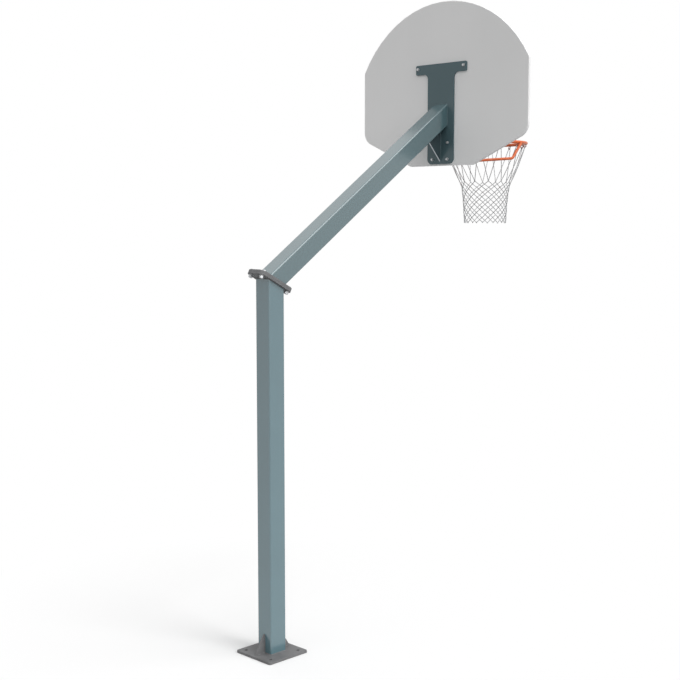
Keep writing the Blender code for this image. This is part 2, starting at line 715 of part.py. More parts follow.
def hook_mesh():
    """A wire that drops from the ring's underside and turns inwards and up again."""
    bend_z = HOOK_FLOOR_Z + HOOK_BEND_RADIUS
    points = [Vector((RIM_RADIUS, 0.0, -RIM_BAR_RADIUS / 2)), Vector((RIM_RADIUS, 0.0, bend_z))]
    for i in range(1, BEND_STEPS + 1):
        angle = math.pi * i / BEND_STEPS
        x = RIM_RADIUS - HOOK_BEND_RADIUS * (1 - math.cos(angle))
        points.append(Vector((x, 0.0, bend_z - HOOK_BEND_RADIUS * math.sin(angle))))
    points.append(points[-1] + Vector((0.0, 0.0, HOOK_LIP)))
    return bar_mesh("net hook", points, HOOK_WIRE_DIAMETER, HOOK_BEVEL_RESOLUTION)


def add_hooks():
    ring_skin = torus_mesh("hook seat", RIM_RADIUS, RIM_BAR_RADIUS + SEAT_GAP)
    mesh = combined_mesh(hook_mesh(), ring_skin, "DIFFERENCE")
    shade_round(mesh)
    for i in range(HOOK_COUNT):
        angle = 2 * math.pi * i / HOOK_COUNT
        place(f"net_hook_{i + 1:02d}", mesh, rim_paint, RIM_CENTRE, (0.0, 0.0, angle))


def net_radius(row):
    """The net narrows quickly under its first knots and then slowly down to its mouth."""
    if row == 0:
        return NET_FIRST_KNOT_RADIUS
    share = (row - 1) / (NET_ROW_COUNT - 1)
    return NET_WAIST_RADIUS + (NET_MOUTH_RADIUS - NET_WAIST_RADIUS) * share


def net_spot(radius, step, z):
    """A point at a count of half meshes round the net."""
    angle = math.pi * step / HOOK_COUNT
    return (radius * math.cos(angle), radius * math.sin(angle), z)


def net_loop(shape, step):
    """The points of the cord where it passes over one hook's wire, from left to right."""
    seat = HOOK_WIRE_DIAMETER / 2 + SEAT_GAP + NET_CORD_DIAMETER / 2
    reach = seat / math.cos(math.pi / NET_LOOP_STEPS / 2)
    seat_radius = RIM_RADIUS - HOOK_BEND_RADIUS
    half_mesh = seat_radius * math.pi / HOOK_COUNT
    loop = []
    for i in range(NET_LOOP_STEPS + 1):
        angle = math.pi * (1 - i / NET_LOOP_STEPS)
        along = step + reach * math.cos(angle) / half_mesh
        loop.append(shape.verts.new(net_spot(seat_radius, along, HOOK_FLOOR_Z + reach * math.sin(angle))))
    return loop


def net_mesh():
    """Diamond cells, the top ones with a loop over each hook. Every edge is a cord."""
    shape = bmesh.new()
    knots = []
    for row in range(NET_ROW_COUNT + 1):
        z = -NET_FIRST_KNOT_DROP - row * NET_ROW_PITCH
        start = 1 if row % 2 == 0 else 0
        spots = [net_spot(net_radius(row), start + 2 * i, z) for i in range(HOOK_COUNT)]
        knots.append([shape.verts.new(spot) for spot in spots])
    for i in range(HOOK_COUNT):
        loop = net_loop(shape, 2 * i)
        shape.faces.new((loop[0], knots[0][i - 1], knots[1][i], knots[0][i], *reversed(loop[1:])))
    for row in range(NET_ROW_COUNT - 1):
        shift = 1 if row % 2 == 0 else 0
        for i in range(HOOK_COUNT):
            left = knots[row + 1][(i + shift - 1) % HOOK_COUNT]
            right = knots[row + 1][(i + shift) % HOOK_COUNT]
            shape.faces.new((knots[row][i], left, knots[row + 2][i], right))
    mesh = bpy.data.meshes.new("net")
    shape.to_mesh(mesh)
    shape.free()
    return mesh


def add_net():
    net = place("net", net_mesh(), cord, RIM_CENTRE)
    wire = net.modifiers.new("Cord", "WIREFRAME")
    wire.thickness = NET_CORD_DIAMETER
    wire.use_boundary = True
    wire.use_even_offset = True
    wire.use_replace = True


empty_scene()
parts = new_collection("Basketball post")
cutters = new_collection("Cutters")
tube_paint = new_material("Blue-grey gloss paint", (0.150, 0.205, 0.220), 0.25, 0.3)
bare_steel = new_material("Grey steel", (0.210, 0.210, 0.215), 0.45, 0.3)
board_paint = new_material("Light grey board", (0.560, 0.560, 0.555), 0.50)
rim_paint = new_material("Orange-red paint", (0.620, 0.100, 0.030), 0.35)
zinc = new_material("Zinc plate", (0.720, 0.730, 0.740), 0.30, 0.9)
cord = new_material("Pale grey cord", (0.620, 0.620, 0.640), 0.80)

add_base_plate()
add_base_gusset("base_gusset_back", -1)
add_base_gusset("base_gusset_front", 1)
add_post()
add_flanges()
add_flange_fasteners()
add_boom()
add_bracket()
add_bracket_gusset()
add_backboard()
add_board_fasteners()
add_rim_plate()
add_rim_neck()
add_rim_ring()
add_rim_braces()
add_hooks()
add_net()
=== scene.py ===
import math

import bmesh
import bpy
import numpy as np
from mathutils import Matrix, Vector


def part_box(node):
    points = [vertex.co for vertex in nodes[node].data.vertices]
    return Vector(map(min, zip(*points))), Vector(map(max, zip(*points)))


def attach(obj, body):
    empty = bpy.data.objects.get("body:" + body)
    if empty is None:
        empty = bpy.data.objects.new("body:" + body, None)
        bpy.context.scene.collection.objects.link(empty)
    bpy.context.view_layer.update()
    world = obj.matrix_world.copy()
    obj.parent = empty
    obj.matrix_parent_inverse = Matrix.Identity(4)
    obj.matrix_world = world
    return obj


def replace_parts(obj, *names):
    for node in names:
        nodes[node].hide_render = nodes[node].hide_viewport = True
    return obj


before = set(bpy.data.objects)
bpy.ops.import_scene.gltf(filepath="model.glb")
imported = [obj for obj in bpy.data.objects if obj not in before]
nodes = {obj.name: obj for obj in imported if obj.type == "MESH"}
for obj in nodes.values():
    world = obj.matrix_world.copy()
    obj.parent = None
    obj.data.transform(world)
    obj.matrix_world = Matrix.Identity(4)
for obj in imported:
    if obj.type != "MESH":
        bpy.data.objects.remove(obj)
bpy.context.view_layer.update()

# The look of the basketball post, on the frame of its CAD part.
# Lengths are in metres. X points towards the court and Z up, and the post stands on the origin.

# Sizes that the part's source gives
SEAT_GAP = 0.0003
BASE_THICKNESS = 0.012
BASE_GUSSET_REACH = 0.062
BASE_GUSSET_HEIGHT = 0.095
GUSSET_HALF = 0.004
TUBE_SIDE = 0.100
TUBE_CORNER_RADIUS = 0.008
CRANK_HEIGHT = 1.868
BOOM_RISE = math.radians(34.43)
FLANGE_TILT = (math.pi / 2 - BOOM_RISE) / 2
FLANGE_THICKNESS = 0.010
FLANGE_BOLT_PITCH_LONG = 0.180
FLANGE_BOLT_PITCH_WIDE = 0.080
RIM_BAR_RADIUS = 0.009
RIM_RADIUS = 0.234
HOOK_COUNT = 12
HOOK_WIRE_RADIUS = 0.0025
HOOK_DROP = 0.008
HOOK_BEND_RADIUS = 0.0065
HOOK_LIP = 0.004
NET_ROW_PITCH = 0.0294
NET_FIRST_KNOT_DROP = 0.217
BOARD_HALF_FOOT = 0.226
BOARD_SKIRT = math.radians(23.6)
BOARD_ARC_RADIUS = 0.677
BOARD_FOOT_ROUNDING = 0.050
BOARD_CHEEK_ROUNDING = 0.076
NECK_HALF_WIDTH = 0.070
NECK_HALF_THICKNESS = 0.004
NECK_SPAN_DEGREES = 60.0

# The lowest point of a hook's centre line, from the ring's centre plane
HOOK_FLOOR_Z = -RIM_BAR_RADIUS - SEAT_GAP - HOOK_DROP - HOOK_BEND_RADIUS

# The net's cord, the radius of each row of knots, and how far it leans and its legs bow
NET_CORD_RADIUS = 0.00235
NET_RADII = (0.1485, 0.1375, 0.1330, 0.1300, 0.1275, 0.1250, 0.1235, 0.1220, 0.1205)
NET_LEAN = 0.004
NET_LEG_BULGE = 0.004

# Thread sizes, as (diameter, pitch)
M12 = (0.012, 0.00175)
M8 = (0.008, 0.00125)

# Fasteners, as shares of the bolt's diameter
ACROSS_FLATS_SHARE = 1.6
HEX_HEAD_SHARE = 0.62
ROUND_HEAD_SHARE = 0.5
BOLT_END_SHARE = 1.35
WASHER_BORE_SHARE = 0.53
WASHER_RADIUS_SHARE = 0.98
WASHER_THICKNESS_SHARE = 0.2
NUT_HEIGHT_SHARE = 1.0

# How far a bolt's thread runs up into its hole
THREAD_IN_HOLE = 0.004

# Radii of the weld beads
TUBE_BEAD = 0.0030
NECK_BEAD = 0.0024
GUSSET_BEAD = 0.0022
RING_BEAD = 0.0020
BRACE_BEAD = 0.0018

# How far from a gusset's corners its welds start and stop
WELD_START = 0.002
WELD_STOP = 0.001

# The middle of a brace's foot, from the rim plate's middle and its lower edge
BRACE_FOOT_Y = 0.0685
BRACE_FOOT_RISE = 0.0105

# Lines painted on the board's front
LINE_WIDTH = 0.035
BORDER_INSET = 0.020
BORDER_SHOULDER_ROUNDING = 0.010
TARGET_HALF_WIDTH = 0.250
TARGET_HEIGHT = 0.370
TARGET_RISE = 0.030
PAINT_THICKNESS = 0.00008

# The camera that was fitted to the photograph
PHOTO_WIDTH_PIXELS = 680
FOCAL_LENGTH_PIXELS = 1218.88
CAMERA_PLACE = (-3.9388, -4.4544, 2.1981)
CAMERA_YAW = math.radians(45.220)
CAMERA_PITCH = math.radians(5.947)
SENSOR_WIDTH_MM = 36.0

# Roundings of the edges of the CAD nodes
SOFT_EDGE = 0.0008
PLATE_EDGE = 0.0012
BRACKET_EDGE = 0.0010
BOARD_EDGE = 0.0006

# The stage
FLOOR_RADIUS = 60.0
FLOOR_SINK = 0.0005
LAMP_DISTANCE = 5.0
KEY_DIRECTION = (0.084, -0.567, 0.819)
WHITE = (1.0, 1.0, 1.0)

# Places read from the frame's nodes
ring_low, ring_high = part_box("rim_ring")
RIM_CENTRE = (ring_low + ring_high) / 2
board_low, board_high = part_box("backboard")
BOARD_FRONT_X = board_high.x
BOARD_BOTTOM_Z = board_low.z
BRACKET_BACK_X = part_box("board_bracket")[0].x
plate_low, plate_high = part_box("rim_plate")
RIM_PLATE_FRONT_X = plate_high.x

rng = np.random.default_rng(7)


# Meshes


def new_object(name, data):
    made = bpy.data.objects.new(name, data)
    bpy.context.scene.collection.objects.link(made)
    return made


def new_piece(name, vertices, faces, material):
    """One named piece of the part, which rides on its only body."""
    mesh = bpy.data.meshes.new(name)
    mesh.from_pydata([tuple(v) for v in vertices], [], faces)
    mesh.validate()
    mesh.materials.append(material)
    mesh.shade_smooth()
    piece = new_object(name, mesh)
    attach(piece, "root")
    return piece


def piece_from_shape(name, shape, material, sharp_degrees):
    """A piece from a bmesh, with edges above an angle kept sharp."""
    bmesh.ops.recalc_face_normals(shape, faces=shape.faces)
    mesh = bpy.data.meshes.new(name)
    shape.to_mesh(mesh)
    shape.free()
    mesh.materials.append(material)
    mesh.shade_smooth()
    mesh.set_sharp_from_angle(angle=math.radians(sharp_degrees))
    piece = new_object(name, mesh)
    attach(piece, "root")
    return piece


def circle_angles(count):
    return [2 * math.pi * i / count for i in range(count)]


def resample(points, step, closed=False):
    """Points at equal steps along a polyline."""
    points = np.asarray(points, float)
    if closed:
        points = np.vstack([points, points[:1]])
    lengths = np.linalg.norm(np.diff(points, axis=0), axis=1)
    at = np.concatenate([[0.0], np.cumsum(lengths)])
    count = max(2, int(round(at[-1] / step)))
    places = np.linspace(0.0, at[-1], count + 1)
    if closed:
        places = places[:-1]
    return np.column_stack([np.interp(places, at, points[:, i]) for i in range(3)])


def spline(points, step):
    """A smooth Catmull-Rom curve through points, at roughly equal steps."""
    steps_between = 12
    points = np.asarray(points, float)
    ends = np.vstack([2 * points[0] - points[1], points, 2 * points[-1] - points[-2]])
    fine = []
    for i in range(1, len(ends) - 2):
        p0, p1, p2, p3 = ends[i - 1:i + 3]
        for t in np.linspace(0.0, 1.0, steps_between, endpoint=False):
            a = 2 * p1
            b = p2 - p0
            c = 2 * p0 - 5 * p1 + 4 * p2 - p3
            d = -p0 + 3 * p1 - 3 * p2 + p3
            fine.append(0.5 * (a + b * t + c * t * t + d * t * t * t))
    fine.append(points[-1])
    return resample(fine, step)


def frames_along(points, closed=False):
    """Two directions across a path at each of its points, carried along without twist."""
    if closed:
        tangents = np.roll(points, -1, axis=0) - np.roll(points, 1, axis=0)
    else:
        tangents = np.gradient(points, axis=0)
    tangents /= np.linalg.norm(tangents, axis=1)[:, None]
    upright = abs(tangents[0][2]) >= 0.8
    start = np.array([1.0, 0.0, 0.0] if upright else [0.0, 0.0, 1.0])
    side = np.cross(tangents[0], start)
    side /= np.linalg.norm(side)
    first = []
    for tangent in tangents:
        side = side - tangent * np.dot(side, tangent)
        side /= np.linalg.norm(side)
        first.append(side.copy())
    first = np.array(first)
    return first, np.cross(tangents, first)


class Sweep:
    """Collects swept tubes into one mesh."""

    def __init__(self):
        self.vertices = []
        self.faces = []

    def add(self, points, radius, sides, closed=False,
            lobes=0, lobe_depth=0.0, pitch=1.0, ripple=0.0, ripple_pitch=1.0):
        """A tube along points, of one radius or of one for each point.

        Lobes wind round it like a rope's strands, and ripples swell it along its length.
        """
        points = np.asarray(points, float)
        first, second = frames_along(points, closed)
        steps = np.linalg.norm(np.diff(points, axis=0), axis=1)
        at = np.concatenate([[0.0], np.cumsum(steps)])
        turn = np.arange(sides) * 2 * math.pi / sides
        start = len(self.vertices)
        for i, point in enumerate(points):
            size = np.full(sides, float(radius if np.isscalar(radius) else radius[i]))
            if lobes:
                phase = lobes * (turn - 2 * math.pi * at[i] / pitch)
                size = size * (1.0 - lobe_depth * (0.5 - 0.5 * np.cos(phase)))
            if ripple:
                size = size * (1.0 + ripple * math.sin(2 * math.pi * at[i] / ripple_pitch))
            across = np.outer(np.cos(turn) * size, first[i])
            self.vertices.extend(point + across + np.outer(np.sin(turn) * size, second[i]))
        rings = len(points)
        for i in range(rings if closed else rings - 1):
            a = start + i * sides
            b = start + ((i + 1) % rings) * sides
            for j in range(sides):
                k = (j + 1) % sides
                self.faces.append((a + j, a + k, b + k, b + j))
        if not closed:
            self.faces.append(tuple(start + j for j in reversed(range(sides))))
            self.faces.append(tuple(start + (rings - 1) * sides + j for j in range(sides)))

    def piece(self, name, material):
        return new_piece(name, self.vertices, self.faces, material)


# Materials


class Nodes:
    """A material with a Principled shader, and short ways to add what feeds it."""

    def __init__(self, name):
        self.material = bpy.data.materials.new(name)
        self.material.use_nodes = True
        self.tree = self.material.node_tree
        self.shader = self.tree.nodes["Principled BSDF"]
        self.place = self.tree.nodes.new("ShaderNodeTexCoord").outputs["Object"]

    def node(self, kind, **values):
        """A new node with some of its properties set."""
        made = self.tree.nodes.new(kind)
        for key, value in values.items():
            setattr(made, key, value)
        return made

    def link(self, output, socket):
        self.tree.links.new(output, socket)

    def noise(self, scale, detail=3.0, roughness=0.5, stretch=None):
        """Noise fixed to the object. A stretch squeezes it along the axes with large values."""
        made = self.node("ShaderNodeTexNoise")
        made.inputs["Scale"].default_value = scale
        made.inputs["Detail"].default_value = detail
        made.inputs["Roughness"].default_value = roughness
        place = self.place
        if stretch:
            mapping = self.node("ShaderNodeMapping")
            mapping.inputs["Scale"].default_value = stretch
            self.link(place, mapping.inputs["Vector"])
            place = mapping.outputs["Vector"]
        self.link(place, made.inputs["Vector"])
        return made.outputs["Fac"]

    def ramp(self, value, stops):
        """A colour between (position, colour) stops."""
        made = self.node("ShaderNodeValToRGB")
        elements = made.color_ramp.elements
        while len(elements) < len(stops):
            elements.new(0.5)
        for element, (position, colour) in zip(elements, stops):
            element.position = position
            element.color = (*colour, 1.0)
        self.link(value, made.inputs["Fac"])
        return made.outputs["Color"]

    def span(self, value, low, high, to_low, to_high):
        """The value moved from one range to another, and held at its ends."""
        made = self.node("ShaderNodeMapRange")
        made.inputs["From Min"].default_value = low
        made.inputs["From Max"].default_value = high
        made.inputs["To Min"].default_value = to_low
        made.inputs["To Max"].default_value = to_high
        self.link(value, made.inputs["Value"])
        return made.outputs["Result"]

    def colour(self, value, stops):
        self.link(self.ramp(value, stops), self.shader.inputs["Base Color"])

    def roughness(self, noise, low, high):
        """Roughness that follows a noise, most of whose values lie between 0.3 and 0.7."""
        self.link(self.span(noise, 0.3, 0.7, low, high), self.shader.inputs["Roughness"])

    def bump(self, *layers):
        """Layers are (height, strength, distance) triples, from the broadest to the finest."""
        normal = None
        for height, strength, distance in layers:
            made = self.node("ShaderNodeBump")
            made.inputs["Strength"].default_value = strength
            made.inputs["Distance"].default_value = distance
            self.link(height, made.inputs["Height"])
            if normal:
                self.link(normal, made.inputs["Normal"])
            normal = made.outputs["Normal"]
        self.link(normal, self.shader.inputs["Normal"])

    def set(self, **values):
        """Constants of the shader, with underscores for the spaces in their names."""
        for key, value in values.items():
            self.shader.inputs[key.replace("_", " ")].default_value = value


def scaled(colour, factor):
    return tuple(c * factor for c in colour)


def powder_coat(name, colour, roughness,
                spread=0.05, peel=0.12, coat=0.0, coat_ior=1.5, specular=0.5):
    """A sprayed coat: faint clouds in its colour, a little change in gloss, a fine orange peel."""
    m = Nodes(name)
    clouds = m.noise(scale=3.0, detail=4.0)
    tones = [(0.3, scaled(colour, 1.0 - spread)), (0.7, scaled(colour, 1.0 + spread))]
    m.colour(clouds, tones)
    m.roughness(m.noise(scale=14.0), roughness - 0.03, roughness + 0.04)
    if peel:
        waves = m.noise(scale=260.0, detail=1.0)
        grain = m.noise(scale=900.0, detail=2.0)
        m.bump((waves, peel, 0.0004), (grain, peel * 0.5, 0.00008))
    m.set(Coat_Weight=coat, Coat_Roughness=0.19, Coat_IOR=coat_ior, Specular_IOR_Level=specular)
    return m.material


def gusset_material_with_painted_light(name, colour):
    """Paint with a painted highlight of bright steel, in patches, on the plate's cut edges."""
    m = Nodes(name)
    facing = m.node("ShaderNodeTexCoord").outputs["Normal"]
    axes = m.node("ShaderNodeSeparateXYZ")
    m.link(facing, axes.inputs["Vector"])
    sideways = m.node("ShaderNodeMath", operation="ABSOLUTE")
    m.link(axes.outputs["Y"], sideways.inputs[0])
    # The cut edges, whose faces do not face along Y, get the painted highlight.
    edge_highlight_mask = m.span(sideways.outputs["Value"], 0.25, 0.6, 1.0, 0.0)
    patches = m.noise(scale=60.0, detail=4.0)
    patchy_edge_highlight = m.node("ShaderNodeMath", operation="MULTIPLY")
    m.link(edge_highlight_mask, patchy_edge_highlight.inputs[0])
    m.link(m.span(patches, 0.25, 0.45, 0.7, 1.0), patchy_edge_highlight.inputs[1])
    highlight_steel = (0.36, 0.38, 0.40)
    tones = [(0.0, colour), (1.0, highlight_steel)]
    m.colour(patchy_edge_highlight.outputs["Value"], tones)
    m.link(patchy_edge_highlight.outputs["Value"], m.shader.inputs["Metallic"])
    m.link(m.span(edge_highlight_mask, 0.0, 1.0, 0.40, 0.30), m.shader.inputs["Roughness"])
    m.bump((m.noise(scale=700.0, detail=2.0), 0.05, 0.0001))
    m.set(Specular_IOR_Level=0.4)
    return m.material


def grey_steel_material(name, colour, roughness, specular):
    """A grey coat on plate steel, with mottling and a rolled grain."""
    m = Nodes(name)
    mottle = m.noise(scale=22.0, detail=6.0, roughness=0.6)
    tones = [(0.32, scaled(colour, 0.82)), (0.52, colour), (0.72, scaled(colour, 1.16))]
    m.colour(mottle, tones)
    m.roughness(mottle, roughness - 0.06, roughness + 0.08)
    grain = m.noise(scale=60.0, detail=4.0, roughness=0.6, stretch=(1.0, 9.0, 1.0))
    pits = m.noise(scale=700.0, detail=2.0)
    m.bump((grain, 0.10, 0.0006), (pits, 0.10, 0.0001))
    m.set(Specular_IOR_Level=specular)
    return m.material


def board_material(name, colour):
    """A moulded panel: very even, with a fine grain and faint streaks."""
    m = Nodes(name)
    streaks = m.noise(scale=2.2, stretch=(1.0, 1.0, 0.35))
    tones = [(0.3, scaled(colour, 0.975)), (0.7, scaled(colour, 1.02))]
    m.colour(streaks, tones)
    specks = m.noise(scale=180.0)
    m.roughness(specks, 0.50, 0.62)
    grain = m.noise(scale=420.0)
    m.bump((specks, 0.06, 0.0004), (grain, 0.10, 0.00012))
    m.set(Specular_IOR_Level=0.35)
    return m.material


def zinc_material(name):
    """Bright zinc plate with soft blotches and fine turning marks."""
    m = Nodes(name)
    blotches = m.noise(scale=260.0)
    tones = [(0.3, (0.38, 0.39, 0.41)), (0.55, (0.48, 0.49, 0.50)), (0.75, (0.56, 0.55, 0.52))]
    m.colour(blotches, tones)
    m.roughness(blotches, 0.34, 0.50)
    marks = m.noise(scale=1800.0, detail=2.0)
    m.bump((marks, 0.15, 0.00005))
    m.set(Metallic=0.9)
    return m.material


def cord_material(name, colour):
    """Spun polyester cord: fibres in the strands, darker in the valleys between them, and a soft
    sheen.
    """
    m = Nodes(name)
    fibres = m.noise(scale=2600.0, detail=2.0, roughness=0.6, stretch=(1.0, 1.0, 0.2))
    clouds = m.noise(scale=30.0)
    mix = m.node("ShaderNodeMix", data_type="RGBA", blend_type="MULTIPLY")
    mix.inputs["Factor"].default_value = 1.0
    m.link(m.ramp(fibres, [(0.3, scaled(colour, 0.82)), (0.65, colour)]), mix.inputs["A"])
    m.link(m.ramp(clouds, [(0.35, (0.90, 0.90, 0.90)), (0.65, WHITE)]), mix.inputs["B"])
    m.link(mix.outputs["Result"], m.shader.inputs["Base Color"])
    m.bump((fibres, 0.35, 0.0003))
    m.set(Roughness=0.85, Sheen_Weight=0.2)
    return m.material


CLEAR_COAT = {"peel": 0.0, "coat": 1.0, "coat_ior": 2.0, "specular": 0.0}
SATIN_COAT = {"coat": 0.4, "coat_ior": 1.7, "specular": 0.1}

tube_paint = powder_coat("Blue-grey gloss paint", (0.083, 0.159, 0.185), 0.40, **CLEAR_COAT)
# The boom's copy of the post's paint is darker, as painted shade.
boom_paint_with_painted_shade = powder_coat("Blue-grey paint on the boom", (0.070, 0.127, 0.142), 0.40, **CLEAR_COAT)
# The bracket's blue-grey is darker than the post's, as painted shade for the dark surroundings it
# would mirror.
bracket_paint_with_painted_shade = powder_coat("Blue-grey satin paint", (0.065, 0.112, 0.126), 0.42, **SATIN_COAT)
# The gusset's colour is darker than the bracket's, as painted shade under the boom, and its cut
# edges carry a painted highlight.
gusset_paint_with_painted_light = gusset_material_with_painted_light("Blue-grey paint with bright edges", (0.040, 0.062, 0.070))
plate_steel = grey_steel_material("Grey steel coat", (0.142, 0.142, 0.145), 0.58, 0.35)
flange_steel = grey_steel_material(
    "Grey steel coat on the flanges", (0.160, 0.162, 0.166), 0.62, 0.2)
board_paint = board_material("Light grey board", (0.800, 0.800, 0.800))
rim_paint = powder_coat(
    "Orange-red paint", (0.600, 0.115, 0.023), 0.36, spread=0.08, specular=0.4)
# The hooks' orange-red is darker than the rim's, as painted shade of the ring.
hook_paint_with_painted_shade = powder_coat(
    "Orange-red paint in the ring's shade", (0.260, 0.060, 0.035), 0.45, spread=0.12)
line_paint = powder_coat("Orange-red line paint", (0.600, 0.118, 0.030), 0.50, peel=0.05)
zinc = zinc_material("Zinc plate")
cord = cord_material("Pale grey cord", (0.560, 0.575, 0.585))


# The CAD nodes that stay: each gets its material and softly rounded edges


def dress(name, material, edge=SOFT_EDGE):
    """A CAD node's own mesh, with a material, and with modifiers that round its edges."""
    node = nodes[name]
    node.data.materials.clear()
    node.data.materials.append(material)
    weld = node.modifiers.new("Weld", "WELD")
    weld.merge_threshold = 0.00001
    merge = node.modifiers.new("Merge flat faces", "DECIMATE")
    merge.decimate_type = "DISSOLVE"
    merge.angle_limit = math.radians(0.5)
    bevel = node.modifiers.new("Round the edges", "BEVEL")
    bevel.width = edge
    bevel.segments = 2
    bevel.limit_method = "ANGLE"
    bevel.angle_limit = math.radians(40.0)
    node.modifiers.new("Shade by face size", "WEIGHTED_NORMAL")
    node.data.shade_smooth()


dress("base_plate", plate_steel, PLATE_EDGE)
dress("base_gusset_back", plate_steel)
dress("base_gusset_front", plate_steel)
dress("post_flange", flange_steel, PLATE_EDGE)
dress("boom_flange", flange_steel, PLATE_EDGE)
dress("post_tube", tube_paint)
dress("boom_tube", boom_paint_with_painted_shade)
dress("board_bracket", bracket_paint_with_painted_shade, BRACKET_EDGE)
dress("bracket_gusset", gusset_paint_with_painted_light)
dress("backboard", board_paint, BOARD_EDGE)
dress("rim_plate", rim_paint)
dress("rim_neck", rim_paint)
dress("rim_brace_left", rim_paint)
dress("rim_brace_right", rim_paint)


# Bolts and nuts


def add_ring_vertices(shape, spots):
    """Vertices round local Z, at (radius, z) pairs in even steps."""
    angles = circle_angles(len(spots))
    return [shape.verts.new((r * math.cos(a), r * math.sin(a), z))
            for a, (r, z) in zip(angles, spots)]


def join_rings(shape, first, second):
    """Faces between two rings of vertices, either of which may be a single point."""
    sides = max(len(first), len(second))
    for j in range(sides):
        k = (j + 1) % sides
        corners = [first[j % len(first)], first[k % len(first)],
                   second[k % len(second)], second[j % len(second)]]
        shape.faces.new(list(dict.fromkeys(corners)))


def chamfered_hexagon(shape, radius, low, high, chamfer_bottom):
    """A hexagon prism whose corners are turned down, as on a real nut or bolt head.

    Its top is always turned down, and its bottom where chamfer_bottom asks for it.
    """
    steps = 48
    flat = radius * math.cos(math.pi / 6)
    inner = flat * 0.97
    slope = math.tan(math.radians(30.0))
    reach = [flat / math.cos((a + math.pi / 6) % (math.pi / 3) - math.pi / 6)
             for a in circle_angles(steps)]
    drop = [(r - inner) * slope for r in reach]
    rings = [[(inner, low)] * steps] if chamfer_bottom else []
    rings.append([(r, low + (d if chamfer_bottom else 0.0)) for r, d in zip(reach, drop)])
    rings.append([(r, high - d) for r, d in zip(reach, drop)])
    rings.append([(inner, high)] * steps)
    made = [add_ring_vertices(shape, ring) for ring in rings]
    for lower, upper in zip(made, made[1:]):
        join_rings(shape, lower, upper)
    shape.faces.new(list(reversed(made[0])))
    shape.faces.new(made[-1])


def threaded_rod(shape, radius, pitch, low, high, plain_to):
    """A shank from high down to low, threaded below plain_to, with a chamfered end."""
    sides = 24
    levels_per_turn = 6
    depth = 0.54 * pitch
    flank_power = 0.8
    chamfer_slope = 1.2
    count = max(2, int(round((plain_to - low) / pitch * levels_per_turn)))
    levels = [high] + [plain_to - (plain_to - low) * i / count for i in range(count + 1)]
    previous = None
    for z in levels:
        ring = []
        for angle in circle_angles(sides):
            size = radius
            if z < plain_to:
                phase = ((plain_to - z) / pitch - angle / (2 * math.pi)) % 1.0
                size = radius - depth * (1.0 - abs(2 * phase - 1.0)) ** flank_power
            size = min(size, radius - depth + (z - low) * chamfer_slope)
            ring.append(shape.verts.new((size * math.cos(angle), size * math.sin(angle), z)))
        if previous:
            join_rings(shape, previous, ring)
        else:
            shape.faces.new(ring)
        previous = ring
    shape.faces.new(list(reversed(previous)))


def turned(shape, profile, sides):
    """A solid turned about local Z from (radius, z) points that start and end on the axis."""
    rings = [add_ring_vertices(shape, [(radius, z)] * (sides if radius else 1))
             for radius, z in profile]
    for lower, upper in zip(rings, rings[1:]):
        join_rings(shape, lower, upper)


def washer(shape, inner, outer, low, high):
    """A flat ring with softened outer edges."""
    sides = 40
    edge = 0.2 * (high - low)
    profile = [(inner, low), (outer - edge, low), (outer, low + edge),
               (outer, high - edge), (outer - edge, high), (inner, high)]
    rings = [add_ring_vertices(shape, [spot] * sides) for spot in profile]
    for first, second in zip(rings, rings[1:] + rings[:1]):
        join_rings(shape, first, second)


def hexagon_radius(diameter):
    """From the axis to a corner of the hexagon that goes with a thread."""
    return ACROSS_FLATS_SHARE * diameter / 2 / math.cos(math.pi / 6)


def dome(radius, height):
    """The profile of a round head, from its top over its rim to the middle of its seat."""
    steps = 8
    profile = [(0.0, SEAT_GAP + height)]
    for i in range(1, steps + 1):
        angle = math.pi / 2 * i / steps
        profile.append((radius * math.sin(angle), SEAT_GAP + height * math.cos(angle)))
    return profile + [(0.0, SEAT_GAP)]


def bolt_shape(thread, grip, head):
    """A bolt whose head sits on local Z = 0, with its shank down."""
    diameter, pitch = thread
    shape = bmesh.new()
    if head == "hexagon":
        shank_top = 0.3 * diameter
        top = HEX_HEAD_SHARE * diameter
        radius = hexagon_radius(diameter)
        chamfered_hexagon(shape, radius, SEAT_GAP, top, chamfer_bottom=False)
    else:
        shank_top = 0.2 * diameter
        turned(shape, dome(diameter, ROUND_HEAD_SHARE * diameter), sides=40)
    end = -grip - BOLT_END_SHARE * diameter
    threaded_rod(shape, diameter / 2, pitch, end, shank_top, -grip + THREAD_IN_HOLE)
    return shape


def nut_shape(thread):
    """A nut under local Z = 0, with its washer between."""
    diameter = thread[0]
    shape = bmesh.new()
    seat = -SEAT_GAP - WASHER_THICKNESS_SHARE * diameter
    bottom = seat - NUT_HEIGHT_SHARE * diameter
    washer(shape, WASHER_BORE_SHARE * diameter, WASHER_RADIUS_SHARE * diameter, seat, -SEAT_GAP)
    chamfered_hexagon(shape, hexagon_radius(diameter), bottom, seat, chamfer_bottom=True)
    return shape


def placed(shape, place):
    bmesh.ops.transform(shape, matrix=place, verts=shape.verts)
    return shape


def random_turn():
    """A turn of a bolt or nut, which no fitter leaves at the same angle."""
    return Matrix.Rotation(rng.uniform(0.0, math.pi / 3), 4, "Z")


def along_flange(x, y, level):
    """A place on the flange joint, with local Z along the flanges' axis."""
    tilt = Matrix.Rotation(FLANGE_TILT, 4, "Y")
    return Matrix.Translation((0.0, 0.0, CRANK_HEIGHT)) @ tilt @ Matrix.Translation((x, y, level))


def add_fastener(node, detail, shape):
    """A bolt or nut in place of its plain node. The piece is named after both."""
    piece = piece_from_shape(f"{node}_{detail}", shape, zinc, sharp_degrees=30.0)
    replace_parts(piece, node)


